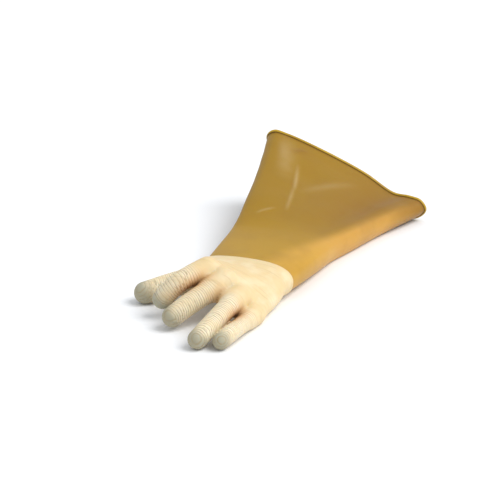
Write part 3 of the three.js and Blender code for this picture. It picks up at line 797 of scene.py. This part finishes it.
def raise_ribs(mesh, settings):
    """Raises the rings round the digits, and marks rings, fingertips, and the painted shade and painted warm
    glow of the clefts for the material.
    """
    places = read_vectors(mesh.vertices, "co")
    marks = digit_marks(places)
    wander = sum(noise_at(places, row["size"], row["seed"]) * row["shift"] for row in WANDER_ROWS)
    lean = settings.rib_lean * smoothstep(*LEAN_FADE, marks["to_end"])
    rings = (marks["reach"] + wander + marks["raised"] * lean) / settings.rib_pitch
    root = start_of(RIBS_START, marks["digit"])
    ribbed = smoothstep(root, root + RIBS_RISE, marks["reach"]) * smoothstep(*RIBS_END, marks["to_end"])
    ribbed *= smoothstep(*ON_DIGIT, marks["off"])
    strength = RIB_STRENGTH["spread"] * noise_at(places, RIB_STRENGTH["size"], RIB_STRENGTH["seed"])
    ribbed *= np.clip(RIB_STRENGTH["middle"] + strength, RIB_STRENGTH["least"], 1)
    wave = np.abs(np.sin(np.pi * rings))
    height = settings.rib_depth * ribbed * (np.sqrt(wave) - RIB_BALANCE)
    write_places(mesh, places + normals_of(mesh) * height[:, None])
    tip_wander = noise_at(places, TIP_WANDER["size"], TIP_WANDER["seed"]) * TIP_WANDER["shift"]
    tip = smoothstep(*TIP_FADE, marks["to_end"] + tip_wander)
    between = np.maximum(marks["next"], 0)
    aside = marks["next"] - marks["off"]
    starts = np.array(CLEFT_STARTS)[marks["digit"]]
    near_root = smoothstep(*CLEFT_END, marks["reach"])
    opened = smoothstep(starts + CLEFT_RISE[0], starts + CLEFT_RISE[1], marks["reach"]) * near_root
    warmed = smoothstep(starts + GLOW_RISE[0], starts + GLOW_RISE[1], marks["reach"]) * near_root
    # Painted shade: a dark line where two digits meet, and a dark patch deep between them
    line = np.exp(-((aside / CLEFT_LINE["aside"]) ** 2)) * np.exp(-((between / CLEFT_LINE["between"]) ** 2))
    deep = CLEFT_DEPTH["share"] * np.exp(-((between / CLEFT_DEPTH["between"]) ** 2))
    cleft_shade = np.maximum(line, deep) * opened
    # Painted light: a warm glow round each cleft, from light passing through the rubber and between the fingers
    glow = np.exp(-((between / GLOW_REACH) ** 2)) * warmed
    values = {"rings": rings, "ribbed": ribbed, "tip": tip, "cleft_shade": cleft_shade, "glow": glow}
    for name, value in values.items():
        write_values(mesh, name, value)


def with_inside(mesh, inner):
    """Joins the hand's outer skin to its plain inside round the wrist's edge."""
    shape = bmesh.new()
    shape.from_mesh(inner)
    bmesh.ops.reverse_faces(shape, faces=shape.faces)
    shape.from_mesh(mesh)
    bmesh.ops.bridge_loops(shape, edges=open_edges(shape))
    bmesh.ops.recalc_face_normals(shape, faces=shape.faces)
    return as_mesh(shape, "hand_skin")


# Materials


# The sockets of a Mix node that stand for its factor, its two colours and the colour that comes out
COLOUR_MIX_INPUTS = (0, 6, 7)
COLOUR_MIX_RESULT = 2


class ShaderNodes:
    """Adds nodes to a tree, one call for each, and links or sets their inputs."""

    def __init__(self, tree):
        self.tree = tree

    def add(self, kind, inputs=None, **settings):
        node = self.tree.nodes.new(kind)
        for name, value in settings.items():
            setattr(node, name, value)
        for name, value in (inputs or {}).items():
            if isinstance(value, bpy.types.NodeSocket):
                self.tree.links.new(value, node.inputs[name])
            else:
                node.inputs[name].default_value = value
        return node

    def value_of(self, name):
        return self.add("ShaderNodeAttribute", attribute_name=name).outputs["Fac"]

    def math(self, operation, first, second=0.0, clamp=False):
        node = self.add("ShaderNodeMath", {0: first, 1: second}, operation=operation, use_clamp=clamp)
        return node.outputs[0]

    def scaled(self, value, amount):
        return self.math("MULTIPLY", value, amount)

    def mapped(self, value, low, high, new_low=0.0, new_high=1.0):
        inputs = {"Value": value, "From Min": low, "From Max": high, "To Min": new_low, "To Max": new_high}
        return self.add("ShaderNodeMapRange", inputs, interpolation_type="SMOOTHSTEP").outputs["Result"]

    def mixed(self, share, first, second):
        inputs = dict(zip(COLOUR_MIX_INPUTS, (share, first, second)))
        return self.add("ShaderNodeMix", inputs, data_type="RGBA").outputs[COLOUR_MIX_RESULT]


def opaque(colour):
    return (*colour, 1.0)


def skin_grain_group():
    """The cloudy tone and the fine grain that dipped rubber has, for every material."""
    group = bpy.data.node_groups.new("Dipped rubber grain", "ShaderNodeTree")
    group.interface.new_socket("Cloud scale", in_out="INPUT", socket_type="NodeSocketFloat")
    group.interface.new_socket("Grain scale", in_out="INPUT", socket_type="NodeSocketFloat")
    group.interface.new_socket("Cloud", in_out="OUTPUT", socket_type="NodeSocketFloat")
    group.interface.new_socket("Grain", in_out="OUTPUT", socket_type="NodeSocketFloat")
    nodes = ShaderNodes(group)
    inputs = nodes.add("NodeGroupInput").outputs
    place = nodes.add("ShaderNodeTexCoord").outputs["Object"]
    cloud = nodes.add("ShaderNodeTexNoise", {"Vector": place, "Scale": inputs["Cloud scale"], "Detail": 3.0})
    grain = nodes.add("ShaderNodeTexNoise", {"Vector": place, "Scale": inputs["Grain scale"], "Detail": 2.0})
    nodes.add("NodeGroupOutput", {"Cloud": cloud.outputs["Fac"], "Grain": grain.outputs["Fac"]})
    return group


def new_material(name):
    material = bpy.data.materials.new(name)
    material.use_nodes = True
    material.node_tree.nodes.clear()
    nodes = ShaderNodes(material.node_tree)
    shader = nodes.add("ShaderNodeBsdfPrincipled")
    nodes.add("ShaderNodeOutputMaterial", {"Surface": shader.outputs["BSDF"]})
    return material, nodes, shader


def grain_of(nodes, cloud_scale, grain_scale):
    group = bpy.data.node_groups.get("Dipped rubber grain") or skin_grain_group()
    node = nodes.add("ShaderNodeGroup", node_tree=group)
    node.inputs["Cloud scale"].default_value = cloud_scale
    node.inputs["Grain scale"].default_value = grain_scale
    return node.outputs["Cloud"], node.outputs["Grain"]


def finish_rubber(nodes, shader, colour, roughness, bump, specular, glow):
    """Links the colour, roughness and bumps of a soft rubber, and sets its shine and its inner glow."""
    nodes.tree.links.new(colour, shader.inputs["Base Color"])
    nodes.tree.links.new(roughness, shader.inputs["Roughness"])
    nodes.tree.links.new(bump.outputs["Normal"], shader.inputs["Normal"])
    shader.inputs["Specular IOR Level"].default_value = specular
    shader.inputs["Subsurface Weight"].default_value = glow["weight"]
    shader.inputs["Subsurface Radius"].default_value = glow["radius"]
    shader.inputs["Subsurface Scale"].default_value = 1.0


def ribbed_rubber(settings):
    material, nodes, shader = new_material("Ribbed rubber")
    cloud, grain = grain_of(nodes, cloud_scale=38.0, grain_scale=900.0)
    groove = nodes.mapped(nodes.math("PINGPONG", nodes.value_of("rings"), 0.5), 0.0, 0.26, 1.0, 0.0)
    groove = nodes.math("MULTIPLY", groove, nodes.value_of("ribbed"), clamp=True)
    place = nodes.add("ShaderNodeTexCoord").outputs["Object"]
    stretched = nodes.add(
        "ShaderNodeMapping", {"Vector": place, "Rotation": LINES_TURN, "Scale": LINES_SCALE}
    ).outputs["Vector"]
    lines = nodes.add("ShaderNodeTexNoise", {"Vector": stretched, "Scale": 1.0, "Detail": 2.0})
    line_mask = nodes.mapped(lines.outputs["Fac"], 0.5, 0.75)
    pale = nodes.math("MAXIMUM", nodes.value_of("ribbed"), nodes.mapped(cloud, 0.4, 0.75, 0.0, 0.5))
    colour = nodes.mixed(pale, opaque(settings.cream), opaque(settings.pale_cream))
    for mask, tone in (
        # Painted shade in the fine striation lines, and below in the grooves between the rings
        (nodes.scaled(line_mask, 0.2), settings.painted_groove_shade_colour),
        (nodes.scaled(nodes.value_of("tip"), 0.78), settings.tip_colour),
        (nodes.scaled(groove, 0.72), settings.painted_groove_shade_colour),
        # Painted warm glow round the clefts
        (nodes.scaled(nodes.value_of("glow"), 0.75), settings.painted_cleft_glow_colour),
        # Painted shade deep in the clefts between the fingers
        (nodes.value_of("cleft_shade"), settings.painted_cleft_shade_colour),
    ):
        colour = nodes.mixed(mask, colour, opaque(tone))
    height = nodes.math("ADD", nodes.scaled(grain, 0.12), nodes.scaled(line_mask, -0.2))
    height = nodes.math("SUBTRACT", height, groove)
    bump = nodes.add("ShaderNodeBump", {"Height": height, "Strength": 0.5, "Distance": 0.0004})
    roughness = nodes.mapped(cloud, 0.3, 0.7, 0.5, 0.62)
    finish_rubber(nodes, shader, colour, roughness, bump, specular=0.35, glow=HAND_GLOW)
    return material


def amber_latex(settings):
    material, nodes, shader = new_material("Amber latex")
    cloud, grain = grain_of(nodes, cloud_scale=22.0, grain_scale=420.0)
    powder = nodes.math("MULTIPLY", nodes.value_of("powder"), nodes.mapped(cloud, 0.25, 0.6, 0.5, 0.9))
    # Painted light and shade: the rounded lower side lighter and more orange, with its highlight, the upper
    # side darker and more olive
    colour = nodes.mixed(nodes.value_of("band"), opaque(settings.shaded_olive_amber), opaque(settings.lit_orange_amber))
    for mask, tone in (
        (nodes.scaled(nodes.value_of("warmth"), 0.55), settings.golden_amber),
        (nodes.scaled(nodes.mapped(cloud, 0.4, 0.7), 0.2), settings.deep_amber),
        # Painted shade of the valley and the mouth's corner, and the dark crease patches
        (nodes.value_of("shade"), settings.shaded_amber),
        (powder, settings.powder_colour),
        # Painted shadow lines beside the hand's edge and under the rim
        (nodes.value_of("edge"), settings.painted_edge_shadow),
    ):
        colour = nodes.mixed(mask, colour, opaque(tone))
    height = nodes.math("ADD", nodes.scaled(grain, 0.15), cloud)
    bump = nodes.add("ShaderNodeBump", {"Height": height, "Strength": 0.35, "Distance": 0.0012})
    roughness = nodes.mapped(powder, 0.0, 0.6, 0.36, 0.6)
    finish_rubber(nodes, shader, colour, roughness, bump, specular=0.28, glow=SLEEVE_GLOW)
    return material


def rim_latex(settings):
    material, nodes, shader = new_material("Rolled rim latex")
    cloud, grain = grain_of(nodes, cloud_scale=60.0, grain_scale=500.0)
    seam = nodes.mapped(nodes.value_of("seam"), 0.0, 1.0)
    clouds = nodes.mapped(cloud, 0.35, 0.7)
    colour = nodes.mixed(clouds, opaque(settings.rim_colour), opaque(settings.rim_shade))
    # Painted shade: a dark line in the crease where the roll meets the sleeve
    colour = nodes.mixed(seam, colour, opaque(settings.rim_seam_shade))
    bump = nodes.add("ShaderNodeBump", {"Height": cloud, "Strength": 0.3, "Distance": 0.001})
    roughness = nodes.mapped(grain, 0.3, 0.7, 0.32, 0.45)
    finish_rubber(nodes, shader, colour, roughness, bump, specular=0.3, glow=RIM_GLOW)
    return material


def colour_property(name, description, default):
    return FloatVectorProperty(
        name=name, description=description, default=default, subtype="COLOR", size=3, min=0.0, max=1.0
    )


def length_property(name, description, default):
    return FloatProperty(
        name=name, description=description, default=default, subtype="DISTANCE", unit="LENGTH", min=0.0
    )


class GloveHandSettings(bpy.types.PropertyGroup):
    """Sizes and colours of the ribbed hand."""

    rib_pitch: length_property("Rib pitch", "Distance from one ring round a finger to the next", 0.0033)
    rib_depth: length_property("Rib depth", "Height of a ring over its grooves", 0.0008)
    rib_lean: FloatProperty(
        name="Rib lean", description="How far the rings lean to the finger's back at its tip", default=1.1
    )
    skin_step: length_property("Skin step", "Size of the even faces that the skin starts from", 0.00165)
    inside_step: length_property("Inside step", "Size of the faces on the plain inside", 0.003)
    cream: colour_property("Cream", "Colour of the rubber", (0.73, 0.555, 0.3))
    pale_cream: colour_property("Pale cream", "Paler rubber of the ribbed fingers", (0.83, 0.725, 0.52))
    tip_colour: colour_property("Fingertips", "Grey-green of the fingertips", (0.28, 0.275, 0.2))
    # Painted shade in the grooves between the rings and in the fine striations
    painted_groove_shade_colour: colour_property("Grooves", "Darker tone between the rings", (0.33, 0.235, 0.11))
    # Painted light: the warm glow round the clefts
    painted_cleft_glow_colour: colour_property("Cleft glow", "Warm tone round the clefts", (0.64, 0.25, 0.03))
    # Painted shade deep in the clefts between the fingers
    painted_cleft_shade_colour: colour_property("Clefts", "Dark tone deep between the fingers", (0.08, 0.024, 0.002))


class GloveSleeveSettings(bpy.types.PropertyGroup):
    """Sizes and colours of the latex sleeve."""

    wall: length_property("Wall", "Thickness of the latex", 0.0015)
    slackness: length_property("Slackness", "Height of the soft waves near the mouth", 0.0016)
    sides: IntProperty(name="Sides", description="Faces round the sleeve", default=220, min=48)
    rings: IntProperty(name="Rings", description="Faces along the sleeve", default=150, min=24)
    # Painted shade on the upper side's colour, and painted light with its highlight on the rounded lower side's
    # colour
    shaded_olive_amber: colour_property("Olive amber", "Colour of the upper side", (0.31, 0.168, 0.004))
    lit_orange_amber: colour_property("Orange amber", "Colour of the rounded lower side", (0.58, 0.305, 0.055))
    golden_amber: colour_property("Golden amber", "Paler latex near the wrist", (0.52, 0.29, 0.012))
    # Painted shade of the valley over the ridge and of the mouth's lower corner, and the dark crease patches
    shaded_amber: colour_property("Shaded amber", "Valley over the ridge, and stains", (0.25, 0.118, 0.006))
    deep_amber: colour_property("Deep amber", "Darker clouds", (0.26, 0.135, 0.012))
    # Painted shadow lines beside the hand's edge and under the rim
    painted_edge_shadow: colour_property("Edges", "Lines beside the hand and the rim", (0.16, 0.075, 0.006))
    powder_colour: colour_property("Powder", "Pale film on pressed creases", (0.62, 0.48, 0.26))


class GloveRimSettings(bpy.types.PropertyGroup):
    """Sizes and colours of the rolled rim."""

    diameter: length_property("Diameter", "Thickness of the rolled rim", 0.0067)
    corner_swelling: FloatProperty(
        name="Corner swelling", description="How much thicker the roll is at its upper corner", default=0.35
    )
    sides: IntProperty(name="Sides", description="Faces along the rim", default=300, min=48)
    rim_colour: colour_property("Rim", "Colour of the roll", (0.5, 0.31, 0.014))
    rim_shade: colour_property("Rim clouds", "Darker clouds in the roll", (0.4, 0.23, 0.01))
    # Painted shade: a dark line in the crease where the roll meets the sleeve
    rim_seam_shade: colour_property("Rim seam", "Line where the roll meets the sleeve", (0.12, 0.055, 0.006))


class GloveStageSettings(bpy.types.PropertyGroup):
    """Camera and lights."""

    lens: FloatProperty(name="Lens", description="Focal length in millimetres", default=100.0, min=10.0)
    azimuth: FloatProperty(
        name="Azimuth", description="Turn of the camera", default=math.radians(20), subtype="ANGLE"
    )
    elevation: FloatProperty(
        name="Elevation", description="Height angle of the camera", default=math.radians(20), subtype="ANGLE"
    )
    distance: length_property("Distance", "From the camera to its target", 1.8607)
    sun: FloatProperty(name="Sun", description="Strength of the main light", default=2.2)
    softness: FloatProperty(
        name="Softness", description="How wide the main light is", default=math.radians(40), subtype="ANGLE"
    )
    sky: FloatProperty(name="Sky", description="Strength of the light from all round", default=0.75)
    floor_colour: colour_property("Floor", "Colour of the floor", (0.9, 0.9, 0.91))


class GLOVE_OT_hand(bpy.types.Operator):
    """Build the ribbed rubber hand"""

    bl_idname = "glove.hand"
    bl_label = "Ribbed hand"

    def execute(self, context):
        settings = context.scene.glove_hand
        mesh = even_skin(rough_hand(0.0), settings.skin_step)
        settle(mesh, SETTLING_PASSES)
        inner = even_skin(rough_hand(HAND_WALL), settings.inside_step)
        settle(inner, SETTLING_PASSES, inside=True)
        mesh = with_finer_digits(mesh)
        settle(mesh, LAST_PASSES)
        raise_ribs(mesh, settings)
        mesh = with_inside(mesh, inner)
        finished("hand_skin", mesh, "hand", ribbed_rubber(settings))
        return {"FINISHED"}


class GLOVE_OT_sleeve(bpy.types.Operator):
    """Build the flared latex sleeve"""

    bl_idname = "glove.sleeve"
    bl_label = "Latex sleeve"

    def execute(self, context):
        settings = context.scene.glove_sleeve
        start = -LAP_LENGTH / SLEEVE_LENGTH
        end = 1 + RIM_OVERSHOOT / 2 / SLEEVE_LENGTH

        def along_of(shares):
            return start + shares * (end - start)

        def place_of(turns, shares):
            along = along_of(shares)
            flat = sleeve_places(along, turns, 0.0)
            raised = crease_masks(along, turns)[0]
            loose = smoothstep(*SLACK_RISE, along) * smoothstep(*SLACK_FALL, along)
            free = smoothstep(*FLOOR_FREE, flat[:, 2])
            waves = noise_at(flat, WAVE_SIZE, 5) + noise_at(flat, RIPPLE_SIZE, 6) * RIPPLE_SHARE
            tuck = LAP_TUCK * np.clip(-along * SLEEVE_LENGTH / LAP_LENGTH, 0, 1)
            creased = raised * smoothstep(*CREASE_FALL, along)
            margin = (creased + waves * settings.slackness * loose) * free - tuck
            places = sleeve_places(along, turns, margin)
            places[:, 2] = np.maximum(places[:, 2], 0)
            return places

        def values_of(turns, shares):
            along = along_of(shares)
            ridge = table_values(RIDGE_ROWS, "along", "turn", np.clip(along, 0, 1))
            from_floor = (turns + FLOOR_SEAM) % 1.0 - FLOOR_SEAM
            over = from_floor - ridge
            _, powder, dark_patch = crease_masks(along, turns)
            # Painted shade: the valley over the ridge and the lower corner at the mouth
            valley_shade = np.exp(-(((over - VALLEY_SHADE["over"]) / VALLEY_SHADE["width"]) ** 2))
            valley_shade *= smoothstep(*VALLEY_SHADE["rise"], along) * VALLEY_SHADE["depth"]
            corner = smoothstep(*CORNER_SHADE["rise"], along) * smoothstep(*CORNER_SHADE["turns"], from_floor)
            from_hand = np.maximum(along, 0) * SLEEVE_LENGTH
            from_rim = np.maximum(1 - along, 0) * SLEEVE_LENGTH
            return {
                # Painted light: the rounded lower side, lit and bright
                "band": smoothstep(*LIT_BAND_FADE, over),
                "powder": powder,
                "shade": np.maximum.reduce((valley_shade, corner * CORNER_SHADE["depth"], dark_patch)),
                "warmth": smoothstep(*WARMTH_FADE, along),
                # Painted shadow: thin dark lines beside the hand's edge and under the rolled rim
                "edge": np.maximum(
                    np.exp(-((from_hand / HAND_EDGE_SHADOW["width"]) ** 2)) * HAND_EDGE_SHADOW["depth"],
                    np.exp(-((from_rim / RIM_EDGE_SHADOW["width"]) ** 2)) * RIM_EDGE_SHADOW["depth"],
                ),
            }

        mesh = bent_grid("sleeve", settings.sides, settings.rings, place_of, values_of)
        piece = finished("sleeve", mesh, "gauntlet", amber_latex(settings))
        wall = piece.modifiers.new("Wall", "SOLIDIFY")
        wall.thickness = settings.wall
        wall.offset = -1
        return {"FINISHED"}


class GLOVE_OT_rim(bpy.types.Operator):
    """Build the rolled rim round the sleeve's mouth"""

    bl_idname = "glove.rim"
    bl_label = "Rolled rim"

    def execute(self, context):
        settings = context.scene.glove_rim
        wall = context.scene.glove_sleeve.wall

        def swelling(turns):
            return 1 + settings.corner_swelling * np.exp(-(((turns - CORNER_TURN) / CORNER_WIDTH) ** 2))

        def place_of(turns, rounds):
            ones = np.ones_like(turns)
            middle = sleeve_places(ones, turns, -wall / 2)
            outwards = sleeve_places(ones, turns, 0.0) - middle
            outwards /= np.linalg.norm(outwards, axis=1)[:, None]
            angle = rounds * 2 * np.pi
            roll = 1 + ROLL_UNEVENNESS * np.cos(angle - 1)
            radius = settings.diameter / 2 * swelling(turns) * roll
            places = middle + outwards * (radius * np.cos(angle))[:, None]
            places[:, 1] += RIM_OVERSHOOT - radius * np.sin(angle)
            places[:, 2] = np.maximum(places[:, 2], 0)
            return places

        def values_of(turns, rounds):
            # Painted shade: a dark line in the crease where the roll meets the sleeve
            from_seam = (rounds - SEAM_PLACE + 0.5) % 1.0 - 0.5
            return {"seam": np.exp(-((from_seam / SEAM_WIDTH) ** 2))}

        mesh = bent_grid("rim", settings.sides, RIM_ROUNDS, place_of, values_of)
        finished("rolled_rim", mesh, "cuff_bead", rim_latex(settings))
        return {"FINISHED"}


class GLOVE_OT_stage(bpy.types.Operator):
    """Build the floor, the lights and the camera"""

    bl_idname = "glove.stage"
    bl_label = "Floor, lights and camera"

    def execute(self, context):
        settings = context.scene.glove_stage
        scene = context.scene
        shape = bmesh.new()
        bmesh.ops.create_grid(shape, x_segments=1, y_segments=1, size=FLOOR_SIZE)
        floor = bpy.data.objects.new("floor", as_mesh(shape, "floor"))
        scene.collection.objects.link(floor)
        material, nodes, shader = new_material("Pale floor")
        shader.inputs["Base Color"].default_value = opaque(settings.floor_colour)
        shader.inputs["Roughness"].default_value = 0.6
        shader.inputs["Specular IOR Level"].default_value = 0.2
        floor.data.materials.append(material)

        level = math.cos(settings.elevation)
        back = Vector((
            math.sin(settings.azimuth) * level,
            -math.cos(settings.azimuth) * level,
            math.sin(settings.elevation),
        ))
        camera = bpy.data.objects.new("camera", bpy.data.cameras.new("camera"))
        camera.data.lens = settings.lens
        camera.data.sensor_width = SENSOR_WIDTH
        camera.location = CAMERA_TARGET + back * settings.distance
        camera.rotation_euler = (-back).to_track_quat("-Z", "Y").to_euler()
        scene.collection.objects.link(camera)
        scene.camera = camera

        light = bpy.data.lights.new("sun", "SUN")
        light.energy = settings.sun
        light.angle = settings.softness
        lamp = bpy.data.objects.new("sun", light)
        lamp.location = CAMERA_TARGET + SUN_SIDE
        lamp.rotation_euler = (-SUN_SIDE).to_track_quat("-Z", "Y").to_euler()
        scene.collection.objects.link(lamp)

        world = bpy.data.worlds.new("studio")
        world.use_nodes = True
        background = world.node_tree.nodes["Background"]
        background.inputs["Color"].default_value = opaque(SKY_COLOUR)
        background.inputs["Strength"].default_value = settings.sky
        scene.world = world
        scene.view_settings.view_transform = "Standard"
        return {"FINISHED"}


class GLOVE_PT_panel(bpy.types.Panel):
    """Lists the glove's pieces with their sizes and colours"""

    bl_label = "Long latex glove"
    bl_idname = "GLOVE_PT_panel"
    bl_space_type = "VIEW_3D"
    bl_region_type = "UI"
    bl_category = "Glove"

    def draw(self, context):
        for operator, settings in (
            ("glove.hand", context.scene.glove_hand),
            ("glove.sleeve", context.scene.glove_sleeve),
            ("glove.rim", context.scene.glove_rim),
            ("glove.stage", context.scene.glove_stage),
        ):
            box = self.layout.box()
            box.operator(operator)
            for name in settings.__annotations__:
                box.prop(settings, name)


CLASSES = (
    GloveHandSettings,
    GloveSleeveSettings,
    GloveRimSettings,
    GloveStageSettings,
    GLOVE_OT_hand,
    GLOVE_OT_sleeve,
    GLOVE_OT_rim,
    GLOVE_OT_stage,
    GLOVE_PT_panel,
)
SETTINGS = {
    "glove_hand": GloveHandSettings,
    "glove_sleeve": GloveSleeveSettings,
    "glove_rim": GloveRimSettings,
    "glove_stage": GloveStageSettings,
}


def register():
    for item in CLASSES:
        bpy.utils.register_class(item)
    for name, item in SETTINGS.items():
        setattr(bpy.types.Scene, name, PointerProperty(type=item))


def unregister():
    for name in SETTINGS:
        delattr(bpy.types.Scene, name)
    for item in reversed(CLASSES):
        bpy.utils.unregister_class(item)


def main():
    register()
    bpy.ops.glove.stage()
    bpy.ops.glove.hand()
    bpy.ops.glove.sleeve()
    bpy.ops.glove.rim()


if __name__ == "__main__":
    main()
